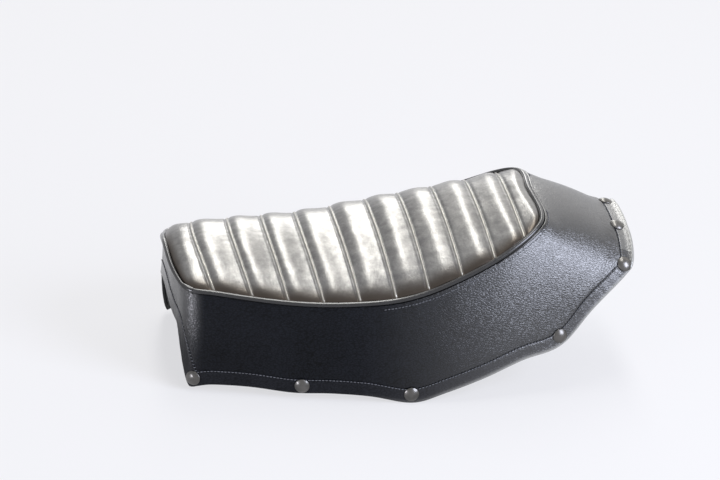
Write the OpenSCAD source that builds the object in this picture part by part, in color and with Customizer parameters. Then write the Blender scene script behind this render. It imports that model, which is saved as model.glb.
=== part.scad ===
// Motorcycle solo seat: a moulded base pan, a foam cushion in a snap-down cover, a ribbed
// insert with piped edge, and the brackets, pads and threaded bosses on its underside.
// +X runs to the rear, +Y to the right-hand side, +Z up. The origin is the centre of the
// four-bolt pattern, in the plane where the bosses meet the frame.

/* [Overall] */
// Length of the seat from its front edge to the rear strap
seat_length = 470; // [430:5:580]
// Width across the lower edge of the skirt, at its widest
seat_width = 260; // [220:5:320]
// Height from the lowest point of the hem to the top of the rear hump
seat_height = 180; // [160:5:220]

/* [Cover] */
// Diameter of the piping round the ribbed insert
piping_d = 6; // [4:0.5:9]
// Thickness of the ribbed insert over the foam
insert_t = 10; // [6:1:16]
// Thickness of the folded hem
hem_t = 2; // [1.5:0.5:3]
// Share of the skirt's depth that the hem takes, from its lower edge to its stitching
hem_share = 0.16; // [0.12:0.01:0.2]
// How far the skirt bulges out between the hem and the piping, along the sides
skirt_bulge = 6; // [2:1:10]
// How far the skirt bulges out across the front
front_bulge = 1; // [0:0.5:6]
// Share of the front skirt's depth that the arch over the frame takes away
arch_share = 0.62; // [0.3:0.02:0.66]
// How far the tail panel bulges up between the strap and the piping
tail_bulge = 4; // [1:0.5:6]
// How far the tail panel dips where the rear strap is stitched, so that the strap lies flat
strap_dip = 3; // [0:0.5:4]

/* [Base pan] */
// Wall of the moulded pan
pan_wall = 4; // [3:0.5:6]
// Height of the pan's deck above the frame
deck_height = 20; // [16:1:26]
// Share of the skirt's depth that the pan's flange takes
flange_share = 0.24; // [0.22:0.01:0.3]

/* [Press studs] */
// Diameter of a press stud's cap
snap_d = 15; // [12:0.5:18]
// Height of a press stud's domed cap
snap_h = 4; // [3:0.5:6]
// Distance from the hem's lower edge to the centre of a cap, as a share of the skirt's depth
snap_share = 0.085; // [0.07:0.005:0.11]
// The same share for the two caps in the middle of the rear strap
rear_snap_share = 0.105; // [0.08:0.005:0.12]

/* [Fixings] */
// Distance between the front and rear bolts
bolt_space_x = 160; // [100:5:180]
// Distance between the left and right bolts
bolt_space_y = 100; // [70:5:120]
// Thread diameter of the frame bolts
bolt_d = 6; // [5:1:8]
// Outer diameter of a threaded insert
insert_d = 10; // [9:0.5:12]
// Outer diameter of a moulded boss
boss_d = 20; // [16:1:26]
// Diameter of a rubber pad
pad_d = 26; // [18:1:32]
// Distance between the front and rear rubber pads
pad_space_x = 210; // [200:5:240]
// Distance between the left and right rubber pads
pad_space_y = 130; // [100:5:150]
// Thickness of the bracket plate
bracket_t = 3; // [2:0.5:4]
// Width of the front and rear brackets
bracket_w = 50; // [40:2:70]
// Diameter of the bolt hole in the rear bracket
bracket_hole_d = 8.5; // [6.5:0.5:10.5]

/* [Hidden] */

$fn = 64;
gap = 0.3;
drawn = [470, 260, 180];
scale_x = seat_length / drawn[0];
scale_y = seat_width / drawn[1];
scale_z = seat_height / drawn[2];
origin = [160, 0, 14];
steps = 2;
across = 12;
deck_z = deck_height;
pan_under = deck_z - pan_wall;

// The seam between the insert and the skirt, from the middle of the front edge along one
// side to the middle of the rear edge: distance back, distance out, height, and how much
// higher the middle of the seat is there.
seam = [
    [-22, 0, 116, 0], [-20, 32, 109, 8], [-16, 50, 103, 16], [-11, 66, 99, 22.5], [-2, 76, 97.5, 27],
    [18, 82, 97.5, 30], [56, 92, 95, 35], [91, 100, 93.5, 38], [126, 106, 93.5, 40.5],
    [162, 110, 95.5, 45.5], [198, 112, 99.5, 49.5], [231, 110, 107.5, 48], [265, 105, 120.5, 41],
    [299, 97, 135.5, 31], [325, 87, 149.5, 21], [341, 76, 158.5, 13], [349, 65, 163, 8.5],
    [351.5, 52, 166, 5], [351, 34, 168, 2.5], [349, 16, 170, 1], [348, 0, 170.5, 0]];

// The lower edge of the hem and the rear edge of the strap, paired with the seam.
hem = [
    [-15, 0, 8], [-14, 38, 8], [-12, 62, 8], [-9, 80, 5], [-1, 92, 1],
    [18, 98, 5], [56, 106, 5.5], [98, 115, 2.5], [135, 121.5, 4],
    [175, 127, 2.5], [217, 130, -4], [250, 129, 5.5], [290, 124, 19],
    [330, 115, 34], [370, 105.5, 45], [402, 93, 78], [435, 79, 107],
    [445, 72, 119], [447, 52, 134], [446, 28, 142], [446, 0, 144]];

// Where along the seam and hem each press stud sits, in control points from the front
snap_side_at = [4.1, 7.24, 10, 14.04];
snap_rear_at = [16.7, 18.9];

// How strongly each stretch of the skirt is the tail panel, from 0 on the sides to 1
tail_from = 15;
tail_to = 18;

function lift(p) = [p[0] * scale_x, -p[1] * scale_y, p[2] * scale_z];
function sized(p) = lift(p) - [origin[0] * scale_x, 0, origin[2] * scale_z];
function clamp(v, a, b) = min(max(v, a), b);
function mixed(a, b, t) = a + (b - a) * t;
function curve(a, b, c, d, t) =
    0.5 * (2 * b + (c - a) * t + (2 * a - 5 * b + 4 * c - d) * t * t + (3 * b - a - 3 * c + d) * t * t * t);
// Beyond the first and last points the curve goes on as its mirror image does
function beyond(pts, i) =
    let (n = len(pts) - 1, j = i < 0 ? -i : (i > n ? 2 * n - i : i), p = pts[j])
    (i < 0 || i > n) ? [for (k = [0:len(p) - 1]) k == 1 ? -p[k] : p[k]] : p;
function on_curve(pts, u) =
    let (i = clamp(floor(u), 0, len(pts) - 2), t = u - i)
    curve(beyond(pts, i - 1), pts[i], pts[i + 1], beyond(pts, i + 2), t);
function eased(a, b, u) = let (t = clamp((u - a) / (b - a), 0, 1)) t * t * (3 - 2 * t);
function tailness(u) = eased(tail_from, tail_to, u);
function bulge(u) = mixed(front_bulge, skirt_bulge, eased(2, 6, u));
// The cover's lower edge: an arch across the front, and the hem line from the corners back
function edge_share(u) = arch_share * mixed(1, 0.86, eased(0, 2, u)) * (1 - eased(2.3, 3.8, u));

last = len(seam) - 1;
half = last * steps;

// A point of the cover's skin: u runs along the seat in control points, v runs from the
// cover's lower edge at 0 to the seam at 1, and depth goes in from the skin.
function level_point(u, v) =
    let (a = sized(on_curve(hem, u)), b = sized(on_curve(seam, u)), w = mixed(edge_share(u), 1, v))
    mixed(a, b, w) + outward(u) * 4 * w * (1 - w) * bulge(u) * (1 - tailness(u))
    + [0.35, 0, 1] * 6.75 * w * w * (1 - w) * tail_bulge * tailness(u)
    - [0, 0, 17.6] * w * pow(1 - w, 6) * strap_dip * tailness(u);
function outward(u) =
    let (a = sized(on_curve(hem, max(u - 0.25, -0.25))), b = sized(on_curve(hem, min(u + 0.25, last + 0.25))),
         t = [b[0] - a[0], b[1] - a[1]] / norm([b[0] - a[0], b[1] - a[1]]))
    u <= 0 ? [-1, 0, 0] : (u >= last ? [1, 0, 0] : [t[1], -t[0], 0]);
function skin_normal(u, v) =
    let (du = 0.1, dv = 0.04, u0 = clamp(u, du, last - du), v0 = clamp(v, dv, 1 - dv),
         a = level_point(u0 + du, v0) - level_point(u0 - du, v0),
         b = level_point(u0, v0 + dv) - level_point(u0, v0 - dv), c = cross(a, b), n = c / norm(c))
    (u <= 0 || u >= last) ? [n[0], 0, n[2]] / norm([n[0], 0, n[2]]) : n;
function skin(u, v, depth = 0) = level_point(u, v) + skin_normal(u, v) * -depth;

function mirrored(p) = [p[0], -p[1], p[2]];
function ring_of(side) = concat(side, [for (i = [len(side) - 2:-1:1]) mirrored(side[i])]);
function skin_side(v, depth) = [for (i = [0:half]) skin(i / steps, v, depth)];
// The seam line, moved in towards the middle and down
function seam_side(inset, drop) =
    [for (i = [0:half]) let (u = i / steps) sized(on_curve(seam, u)) - seam_out(u) * inset - [0, 0, drop]];
function seam_out(u) =
    let (a = sized(on_curve(seam, max(u - 0.25, 0))), b = sized(on_curve(seam, min(u + 0.25, last))),
         t = [b[0] - a[0], b[1] - a[1]] / norm([b[0] - a[0], b[1] - a[1]]))
    u <= 0 ? [-1, 0, 0] : (u >= last ? [1, 0, 0] : [t[1], -t[0], 0]);
function crown(u) = on_curve(seam, u)[3] * scale_z;

// The points between one side's point and its mirror image, raised into a crown
function cap_points(side, rise) =
    [for (i = [1:half - 1]) for (k = [1:across - 1])
        let (t = 2 * k / across - 1, p = side[i])
        [p[0], -p[1] * t, p[2] + rise[i] * (1 - pow(abs(t), 2.2))]];

function band_faces(a, b, n) =
    [for (i = [0:n - 1]) let (j = (i + 1) % n) each [[a + i, a + j, b + j], [a + i, b + j, b + i]]];
function cap_index(ring, inner, i, k) =
    k == 0 ? ring + i : (k == across ? ring + 2 * half - i : inner + (i - 1) * (across - 1) + k - 1);
function cap_faces(ring, inner) = concat(
    [for (i = [1:half - 2]) for (k = [0:across - 1])
        let (a = cap_index(ring, inner, i, k), b = cap_index(ring, inner, i + 1, k),
             c = cap_index(ring, inner, i + 1, k + 1), d = cap_index(ring, inner, i, k + 1))
        each [[a, b, c], [a, c, d]]],
    [for (k = [0:across - 1]) [ring, cap_index(ring, inner, 1, k), cap_index(ring, inner, 1, k + 1)]],
    [for (k = [0:across - 1])
        [ring + half, cap_index(ring, inner, half - 1, k + 1), cap_index(ring, inner, half - 1, k)]]);
function flipped(faces) = [for (f = faces) [f[2], f[1], f[0]]];

// A closed shell between two stacks of rings, each stack listed from its lower edge up and
// closed over the middle by a cap
module shell(outer, outer_rise, inner, inner_rise) {
    n = 2 * half;
    cap_n = (half - 1) * (across - 1);
    out_points = concat([for (s = outer) each ring_of(s)], cap_points(outer[len(outer) - 1], outer_rise));
    in_points = concat([for (s = inner) each ring_of(s)], cap_points(inner[len(inner) - 1], inner_rise));
    m = len(out_points);
    out_top = (len(outer) - 1) * n;
    in_top = m + (len(inner) - 1) * n;
    faces = concat(
        [for (r = [0:1:len(outer) - 2]) each band_faces(r * n, (r + 1) * n, n)],
        cap_faces(out_top, out_top + n),
        [for (r = [0:1:len(inner) - 2]) each flipped(band_faces(m + r * n, m + (r + 1) * n, n))],
        flipped(cap_faces(in_top, in_top + n)),
        flipped(band_faces(0, m, n)));
    polyhedron(concat(out_points, in_points), flipped(faces), convexity = 6);
}

flat_rise = [for (i = [0:half]) 0];
function crown_rise(extra) = [for (i = [0:half]) let (c = crown(i / steps)) c + extra * min(1, c / 8)];

// The deck is level, and turns up behind the front corners to meet the arch over the frame
ramp_from = -172 * scale_x;
ramp_to = -152 * scale_x;
front_top = level_point(0, flange_share)[2];
function deck_of(x) = mixed(front_top, deck_z, eased(ramp_from, ramp_to, x));
function share_at(u, z) = let (a = level_point(u, 0)[2], b = level_point(u, 1)[2]) (z - a) / (b - a);
// The pan's own side lines: the deck's edge, its rim, and the middle of its flange
function pan_side(depth, ahead = 0) =
    [for (i = [0:half])
        let (u = i / steps, z = deck_of(skin(u, flange_share, depth)[0] + ahead),
             p = skin(u, clamp(share_at(u, z), flange_share, 0.8), depth))
        [p[0], p[1], max(p[2], z)]];
function pan_rim(depth) = skin_side(0.03, depth);
function pan_mid(depth) = skin_side(flange_share / 2, depth);
pan_depth = hem_t + gap;

module base_pan() {
    color("#17181a")
        shell([pan_rim(pan_depth), pan_mid(pan_depth), pan_side(pan_depth)], flat_rise,
              [pan_rim(pan_depth + pan_wall), pan_mid(pan_depth + pan_wall),
               lowered(pan_side(pan_depth + pan_wall, pan_wall), pan_wall)], flat_rise);
}
function lowered(side, d) = [for (p = side) p - [0, 0, d]];

module cushion() {
    base = hem_share + 0.005;
    ledge = piping_d / 2 + gap;
    color("#22242a")
        shell([skin_side(base, 0), skin_side(0.32, 0), skin_side(0.5, 0), skin_side(0.7, 0), skin_side(0.87, 0),
               seam_side(-1, ledge + 1), seam_side(ledge, ledge + 1)], crown_rise(-insert_t),
              [skin_side(base, pan_depth - gap), lowered(pan_side(pan_depth - gap), -gap)], flat_rise);
}

module ribbed_insert() {
    inset = piping_d / 2 + gap;
    color("#8d8a84")
        shell([seam_side(inset, 2), seam_side(inset, -2)], crown_rise(2),
              [seam_side(inset + 1, 3), seam_side(inset + 2, 3)], crown_rise(gap - insert_t + 1));
}

// A round tube along the seam
module insert_piping() {
    sides = 8;
    n = 2 * half;
    path = ring_of(seam_side(0, 0));
    points = [for (i = [0:n - 1])
        let (t = path[(i + 1) % n] - path[(i + n - 1) % n], d = t / norm(t), s = cross(d, [0, 0, 1]),
             side = s / norm(s), up = cross(side, d))
        for (k = [0:sides - 1]) path[i] + (side * cos(k * 360 / sides) + up * sin(k * 360 / sides)) * piping_d / 2];
    faces = [for (i = [0:n - 1]) for (k = [0:sides - 1])
        let (a = i * sides + k, b = i * sides + (k + 1) % sides,
             c = ((i + 1) % n) * sides + (k + 1) % sides, d = ((i + 1) % n) * sides + k)
        each [[a, b, c], [a, c, d]]];
    color("#101114") polyhedron(points, flipped(faces), convexity = 8);
}

// A strip of the hem between two places along the seat, one of its sides or both round an end
module hem_strip(from, to, both) {
    rows = [for (i = [from:to]) i / steps];
    one = [for (u = rows) [skin(u, 0, 0), skin(u, hem_share, 0), skin(u, hem_share, hem_t), skin(u, 0, hem_t)]];
    back = [for (i = [len(one) - 1:-1:0]) [for (p = one[i]) mirrored(p)]];
    strip = !both ? one
        : (from == 0 ? concat(back, [for (i = [1:len(one) - 1]) one[i]])
                     : concat(one, [for (i = [1:len(one) - 1]) back[i]]));
    m = len(strip);
    points = [for (r = strip) each r];
    faces = concat(
        [for (i = [0:m - 2]) for (k = [0:3])
            let (a = 4 * i + k, b = 4 * i + (k + 1) % 4, c = 4 * (i + 1) + (k + 1) % 4, d = 4 * (i + 1) + k)
            each [[a, b, c], [a, c, d]]],
        [[2, 1, 0], [3, 2, 0]],
        [[4 * m - 4, 4 * m - 3, 4 * m - 2], [4 * m - 4, 4 * m - 2, 4 * m - 1]]);
    polyhedron(points, faces, convexity = 6);
}

corner_front = 3 * steps;
corner_rear = 17 * steps + 1;
module hem_front() { color("#1d1f24") hem_strip(0, corner_front, true); }
module hem_left() { color("#1d1f24") hem_strip(corner_front, corner_rear, false); }
module hem_right() { color("#1d1f24") mirror([0, 1, 0]) hem_strip(corner_front, corner_rear, false); }
module rear_strap() { color("#1d1f24") hem_strip(corner_rear, half, true); }

// Turns +Z to the direction d and moves to p
module standing_on(p, d) {
    translate(p) rotate([0, acos(d[2] / norm(d)), atan2(d[1], d[0])]) children();
}

// The domed cap outside the hem, and the washer and nut inside the pan's flange
module snap(u, share = snap_share) {
    n = skin_normal(u, share);
    rim_r = snap_d / 2;
    dome_r = (rim_r * rim_r + (snap_h - 1) * (snap_h - 1)) / (2 * (snap_h - 1));
    color("#b9bbbd") standing_on(skin(u, share, -0.1), n) {
        cylinder(h = 1, r = rim_r);
        intersection() {
            translate([0, 0, snap_h - dome_r]) sphere(r = dome_r);
            translate([0, 0, 1]) cylinder(h = snap_h, r = rim_r);
        }
    }
    color("#b9bbbd") standing_on(skin(u, share + 0.02, pan_depth + pan_wall + snap_d * 0.04), -n) {
        cylinder(h = 1.2, r = rim_r * 0.7);
        cylinder(h = 4, r = rim_r * 0.4, $fn = 6);
    }
}
module snap_left(k) { snap(snap_side_at[k - 1]); }
module snap_right(k) { mirror([0, 1, 0]) snap(snap_side_at[k - 1]); }
// The rear studs are numbered across the strap, from the left corner to the right one
module snap_rear(k) {
    if (k == 1) snap(snap_rear_at[0]);
    if (k == 2) snap(snap_rear_at[1], rear_snap_share);
    if (k == 3) mirror([0, 1, 0]) snap(snap_rear_at[1], rear_snap_share);
    if (k == 4) mirror([0, 1, 0]) snap(snap_rear_at[0]);
}

module at_corners(space_x, space_y) {
    for (x = [-1, 1]) for (y = [-1, 1]) translate([x * space_x / 2, y * space_y / 2, 0]) children();
}

insert_h = 12;
module pan_bosses() {
    color("#17181a") at_corners(bolt_space_x, bolt_space_y) difference() {
        cylinder(h = pan_under, d = boss_d);
        translate([0, 0, -1]) cylinder(h = insert_h + 1, d = insert_d);
    }
}
module threaded_inserts() {
    color("#b08d4a") at_corners(bolt_space_x, bolt_space_y) difference() {
        cylinder(h = insert_h, d = insert_d);
        translate([0, 0, -1]) cylinder(h = insert_h + 2, d = bolt_d);
    }
}
pad_h = 8;
module rubber_pads() {
    color("#26272a") at_corners(pad_space_x, pad_space_y) translate([0, 0, pan_under - pad_h]) {
        cylinder(h = pad_h - 2, d1 = pad_d - 4, d2 = pad_d);
        translate([0, 0, pad_h - 2]) cylinder(h = 2, d = pad_d);
    }
}

// The hook under the front of the deck, which slides under the frame's cross tube
hook_x = -150 * scale_x;
hook_len = 46;
hook_drop = 12;
module front_hook() {
    color("#8f9296") translate([hook_x, -bracket_w / 2, pan_under - bracket_t]) {
        cube([hook_len, bracket_w, bracket_t]);
        translate([hook_len - bracket_t, 0, -hook_drop]) cube([bracket_t, bracket_w, hook_drop]);
        translate([10, 0, -hook_drop]) cube([hook_len - 10, bracket_w, bracket_t]);
    }
}

// The angle bracket under the rear of the deck, bolted to the frame's rear cross member
rear_x = 70 * scale_x;
rear_len = 34;
rear_drop = 26;
rear_hole_z = pan_under - 17;
module rear_bracket() {
    color("#8f9296") difference() {
        translate([rear_x - rear_len, -bracket_w / 2, 0]) union() {
            translate([0, 0, pan_under - bracket_t]) cube([rear_len, bracket_w, bracket_t]);
            translate([rear_len - bracket_t, 0, pan_under - rear_drop]) cube([bracket_t, bracket_w, rear_drop]);
        }
        translate([rear_x - bracket_t - 1, 0, rear_hole_z]) rotate([0, 90, 0])
            cylinder(h = bracket_t + 2, d = bracket_hole_d);
    }
}

rivet_d = 9;
rivet_h = 2.4;
module rivet_at(x, y, z) {
    translate([x, y, z - rivet_h]) cylinder(h = rivet_h, d1 = rivet_d * 0.6, d2 = rivet_d);
}
module bracket_rivets() {
    color("#a9abad") for (y = [-bracket_w * 0.3, bracket_w * 0.3]) {
        rivet_at(hook_x + 5, y, pan_under - bracket_t);
        rivet_at(rear_x - rear_len * 0.6, y, pan_under - bracket_t);
    }
}

base_pan();
cushion();
ribbed_insert();
insert_piping();
hem_front();
hem_left();
hem_right();
rear_strap();
pan_bosses();
threaded_inserts();
rubber_pads();
front_hook();
rear_bracket();
bracket_rivets();
for (k = [1:4]) {
    snap_left(k);
    snap_right(k);
    snap_rear(k);
}
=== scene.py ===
# %% [markdown]
# # A solo motorcycle seat
# The seat is a moulded pan, a foam cushion in a black leather cover, and a ribbed insert of
# pewter-coloured leather with piping round it. The construction is loaded as a fixed frame. The
# soft pieces are then modelled over it, because a sewn cover is rounder and finer than its solid.

# %% Load the frame
import math

import bmesh
import bpy
import numpy as np
from mathutils import Matrix, Vector, noise


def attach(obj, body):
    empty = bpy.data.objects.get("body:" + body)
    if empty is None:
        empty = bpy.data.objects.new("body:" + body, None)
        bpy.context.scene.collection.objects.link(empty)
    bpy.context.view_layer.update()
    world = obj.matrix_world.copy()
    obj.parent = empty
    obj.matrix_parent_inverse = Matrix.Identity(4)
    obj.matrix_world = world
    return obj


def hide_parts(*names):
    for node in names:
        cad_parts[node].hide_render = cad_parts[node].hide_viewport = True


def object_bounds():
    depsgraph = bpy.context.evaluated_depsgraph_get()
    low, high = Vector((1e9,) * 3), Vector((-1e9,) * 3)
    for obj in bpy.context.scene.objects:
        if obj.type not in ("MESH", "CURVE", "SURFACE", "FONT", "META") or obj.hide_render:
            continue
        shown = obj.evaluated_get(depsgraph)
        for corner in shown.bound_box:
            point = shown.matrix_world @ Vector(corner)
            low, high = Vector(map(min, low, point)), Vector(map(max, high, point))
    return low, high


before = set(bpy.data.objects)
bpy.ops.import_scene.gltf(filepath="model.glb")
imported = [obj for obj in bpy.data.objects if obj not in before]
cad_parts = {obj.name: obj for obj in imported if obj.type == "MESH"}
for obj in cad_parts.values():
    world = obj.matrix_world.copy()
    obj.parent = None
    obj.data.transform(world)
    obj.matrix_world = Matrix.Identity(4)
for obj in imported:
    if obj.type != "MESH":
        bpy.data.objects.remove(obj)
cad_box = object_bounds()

MM = 0.001
print("frame loaded:", len(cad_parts), "nodes, box", cad_box)

# %% [markdown]
# Two lines rule the cover: the seam that the piping follows, and the lower edge of the hem. Each
# is a short list of points down the left side, in millimetres from the front corner stud. The
# right side is the mirror image. A smooth curve through them, sampled finely once, is quicker to
# use than one that is worked out for each vertex.

# %% The two lines of the cover
ORIGIN = np.array([160, 0, 14])
SEAM_POINTS = [
    [-22, 0, 116, 0], [-20, 32, 109, 8], [-16, 50, 103, 16], [-11, 66, 99, 22.5], [-2, 76, 97.5, 27],
    [18, 82, 97.5, 30], [56, 92, 95, 35], [91, 100, 93.5, 38], [126, 106, 93.5, 40.5],
    [162, 110, 95.5, 45.5], [198, 112, 99.5, 49.5], [231, 110, 107.5, 48], [265, 105, 120.5, 41],
    [299, 97, 135.5, 31], [325, 87, 149.5, 21], [341, 76, 158.5, 13], [349, 65, 163, 8.5],
    [351.5, 52, 166, 5], [351, 34, 168, 2.5], [349, 16, 170, 1], [348, 0, 170.5, 0]]
HEM_POINTS = [
    [-15, 0, 8], [-14, 38, 8], [-12, 62, 8], [-9, 80, 5], [-1, 92, 1],
    [18, 98, 5], [56, 106, 5.5], [98, 115, 2.5], [135, 121.5, 4],
    [175, 127, 2.5], [217, 130, -4], [250, 129, 5.5], [290, 124, 19],
    [330, 115, 34], [370, 105.5, 45], [402, 93, 78], [435, 79, 107],
    [445, 72, 119], [447, 52, 134], [446, 28, 142], [446, 0, 144]]
LAST = len(SEAM_POINTS) - 1
TABLE_STEP = 0.01
TABLE_REACH = 60
TABLE_U = np.arange(-1.5, LAST + 1.5, TABLE_STEP)


def catmull_rom(points, u):
    """The curve through the points at u, going on past both ends as its mirror image."""
    points = np.array(points, dtype=float)
    flip = np.ones(points.shape[1])
    flip[1] = -1
    whole = np.vstack([points[3:0:-1] * flip, points, points[-2:-5:-1] * flip])
    place = np.floor(u).astype(int)
    t = (u - place)[:, None]
    a, b, c, d = (whole[place + 3 + k] for k in (-1, 0, 1, 2))
    return 0.5 * (2 * b + (c - a) * t + (2 * a - 5 * b + 4 * c - d) * t**2 + (3 * b - a - 3 * c + d) * t**3)


def line_table(points, softness):
    """The curve in frame metres, sampled at TABLE_U and softened so that no point leaves a kink."""
    raw = catmull_rom(points, TABLE_U)
    raw[:, :3] -= ORIGIN
    raw[:, 1] *= -1
    reach = np.arange(-TABLE_REACH, TABLE_REACH + 1)
    weight = np.exp(-0.5 * (reach * TABLE_STEP / softness) ** 2)
    weight /= weight.sum()
    padded = np.pad(raw, ((TABLE_REACH, TABLE_REACH), (0, 0)), mode="edge")
    soft = np.stack([np.convolve(padded[:, k], weight, mode="valid") for k in range(raw.shape[1])], axis=1)
    return soft * MM


SEAM = line_table(SEAM_POINTS, 0.22)
HEM = line_table(HEM_POINTS, 0.11)


def along(table, u):
    """A line's values at u."""
    return np.stack([np.interp(u, TABLE_U, table[:, k]) for k in range(table.shape[1])], axis=-1)


seam_ends = along(SEAM, np.array([0.0, LAST]))[:, 0]
print("seam from x =", round(seam_ends[0], 3), "to", round(seam_ends[1], 3))

# %% [markdown]
# The skin of the cover is the surface between those two lines. Along the sides it bulges out a
# little, because the foam pushes it, and over the tail it bulges up. At the front it is cut away
# in an arch. Every sewn detail is placed on this one surface, so it is written once as a function
# of the place along the seat, `u`, and up the skirt, `v`.

# %% The skin of the cover
FRONT_BULGE = 1 * MM
SKIRT_BULGE = 6 * MM
TAIL_BULGE = 4 * MM
STRAP_DIP = 3 * MM
ARCH_SHARE = 0.62
PIPING_R = 3 * MM


def eased(start, end, u):
    """0 up to start, 1 from end on, and a smooth rise between them."""
    t = np.clip((u - start) / (end - start), 0, 1)
    return t * t * (3 - 2 * t)


def mixed(a, b, t):
    """The value between a and b at the share t."""
    return a + (b - a) * t


def outward_of(table, u):
    """The direction away from the seat, level, square to a line."""
    step = along(table, u + 0.2) - along(table, u - 0.2)
    out = np.stack([step[..., 1], -step[..., 0], np.zeros_like(u)], axis=-1)
    return out / np.linalg.norm(out, axis=-1, keepdims=True)


def arch(u):
    """The share of the skirt that the arch at the front cuts away."""
    return ARCH_SHARE * mixed(1, 0.86, eased(0, 2, u)) * (1 - eased(2.3, 3.8, u))


def level_skin(u, v):
    """A point of the plain skin: v goes from 0 at the lower edge to 1 at the seam."""
    low, high = along(HEM, u), along(SEAM, u)[..., :3]
    w = mixed(arch(np.abs(u)), 1, v)[..., None]
    tail = eased(15, 18, u)[..., None]
    bulge = mixed(FRONT_BULGE, SKIRT_BULGE, eased(2, 6, u))[..., None]
    side = outward_of(HEM, u) * 4 * w * (1 - w) * bulge * (1 - tail)
    rise = np.array([0.35, 0, 1]) * 6.75 * w * w * (1 - w) * TAIL_BULGE * tail
    dip = np.array([0, 0, 17.6]) * w * (1 - w) ** 6 * STRAP_DIP * tail
    return mixed(low, high, w) + side + rise - dip


def skin_normal(u, v):
    """The direction square to the skin, outwards."""
    du, dv = 0.08, 0.02
    v = np.clip(v, dv, 1 - dv)
    across = level_skin(u + du, v) - level_skin(u - du, v)
    up = level_skin(u, v + dv) - level_skin(u, v - dv)
    n = np.cross(across, up)
    return n / np.linalg.norm(n, axis=-1, keepdims=True)


def skin(u, v, raised=0.0):
    """A point of the skin, raised from it by a distance."""
    return level_skin(u, v) + skin_normal(u, v) * np.asarray(raised)[..., None]


def skirt_depth(u):
    """How long the skin is from its lower edge to the seam."""
    rows = [level_skin(u, np.full_like(u, v)) for v in np.linspace(0, 1, 9)]
    return sum(np.linalg.norm(b - a, axis=-1) for a, b in zip(rows, rows[1:]))


def even_places(count):
    """Places along one side, from the middle of the front to the middle of the rear, evenly apart."""
    u = np.linspace(0, LAST, 2001)
    line = (along(SEAM, u)[:, :3] + along(HEM, u)) / 2
    run = np.concatenate([[0], np.cumsum(np.linalg.norm(np.diff(line, axis=0), axis=1))])
    return np.interp(np.linspace(0, run[-1], count), run, u)


SIDE_COUNT = 300
PLACES = even_places(SIDE_COUNT)
print("skirt depth at the side", round(float(skirt_depth(np.array([9.0]))[0]) * 1000), "mm")

# %% [markdown]
# Soft pieces are grids of points. A ring runs down the left side and back along the right, which
# repeats the left one with its sign changed, and rings are stacked into a tube. Its open ends are
# filled, so each soft piece is one closed form. Small helpers keep that in one place.

# %% Helpers for meshes
ROOT = "root"


def ring_of(side):
    """A closed ring from the points of the left side."""
    return np.vstack([side, side[-2:0:-1] * [1, -1, 1]])


def linked(name, data):
    """A new object that is in the scene."""
    made = bpy.data.objects.new(name, data)
    bpy.context.collection.objects.link(made)
    return made


def tube_mesh(name, rings, close_ends=False):
    """A mesh from rings of equally many points, joined in a tube. close_ends joins last to first."""
    count = len(rings[0])
    faces = []
    for r in range(len(rings) if close_ends else len(rings) - 1):
        a, b = r * count, (r + 1) % len(rings) * count
        faces += [(a + i, a + (i + 1) % count, b + (i + 1) % count, b + i) for i in range(count)]
    mesh = bpy.data.meshes.new(name)
    mesh.from_pydata(np.vstack(rings).tolist(), [], faces)
    return linked(name, mesh)


def only(piece):
    """Selects one piece and makes it the active one."""
    bpy.ops.object.select_all(action="DESELECT")
    piece.select_set(True)
    bpy.context.view_layer.objects.active = piece


def close_and_smooth(piece, angle=60):
    """Fills open ends, turns every face outwards and shades the piece smooth."""
    only(piece)
    bpy.ops.object.mode_set(mode="EDIT")
    bpy.ops.mesh.select_mode(type="EDGE")
    bpy.ops.mesh.select_all(action="DESELECT")
    bpy.ops.mesh.select_non_manifold(extend=False)
    if bpy.context.object.data.total_edge_sel:
        bpy.ops.mesh.fill(use_beauty=True)
    bpy.ops.mesh.select_all(action="SELECT")
    bpy.ops.mesh.normals_make_consistent(inside=False)
    bpy.ops.object.mode_set(mode="OBJECT")
    bpy.ops.object.shade_smooth_by_angle(angle=math.radians(angle))
    piece.select_set(False)


def fitted(piece, slot, material, *nodes):
    """Puts a piece on the seat's body in the place of nodes, with its finish."""
    piece.data.materials.clear()
    piece.data.materials.append(material)
    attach(piece, ROOT)
    if nodes:
        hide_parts(*nodes)
    print(piece.name, "has", len(piece.data.polygons), "faces")


def ripples(points, size, octaves=2):
    """Smooth noise from -1 to 1 at each point, with bumps about `size` metres across."""
    return np.array([noise.fractal(Vector(p) / size, 0.6, 2.0, octaves) for p in points.reshape(-1, 3)]
                    ).reshape(points.shape[:-1])


# %% [markdown]
# ## Materials
# Colours are written as they look on a screen, and one function turns them to the linear values
# that shaders use. One small function adds a node, with its settings and links, to a material.

# %% Helpers for materials
def linear(code):
    """An sRGB hex colour as linear red, green, blue and alpha."""
    parts = [int(code[k:k + 2], 16) / 255 for k in (1, 3, 5)]
    return (*[c / 12.92 if c <= 0.04045 else ((c + 0.055) / 1.055) ** 2.4 for c in parts], 1.0)


def add_node(tree, kind, sockets=None, stops=None, **settings):
    """A new node; sockets gives each input a value or a link, and stops the colours of a ramp."""
    made = tree.nodes.new(kind)
    for name, value in settings.items():
        setattr(made, name, value)
    for name, value in (sockets or {}).items():
        if isinstance(value, bpy.types.NodeSocket):
            tree.links.new(value, made.inputs[name])
        else:
            made.inputs[name].default_value = value
    if stops:
        ramp = made.color_ramp.elements
        for place, colour in stops[1:-1]:
            ramp.new(place)
        for element, (place, colour) in zip(ramp, stops):
            element.position = place
            element.color = linear(colour)
    return made


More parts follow.
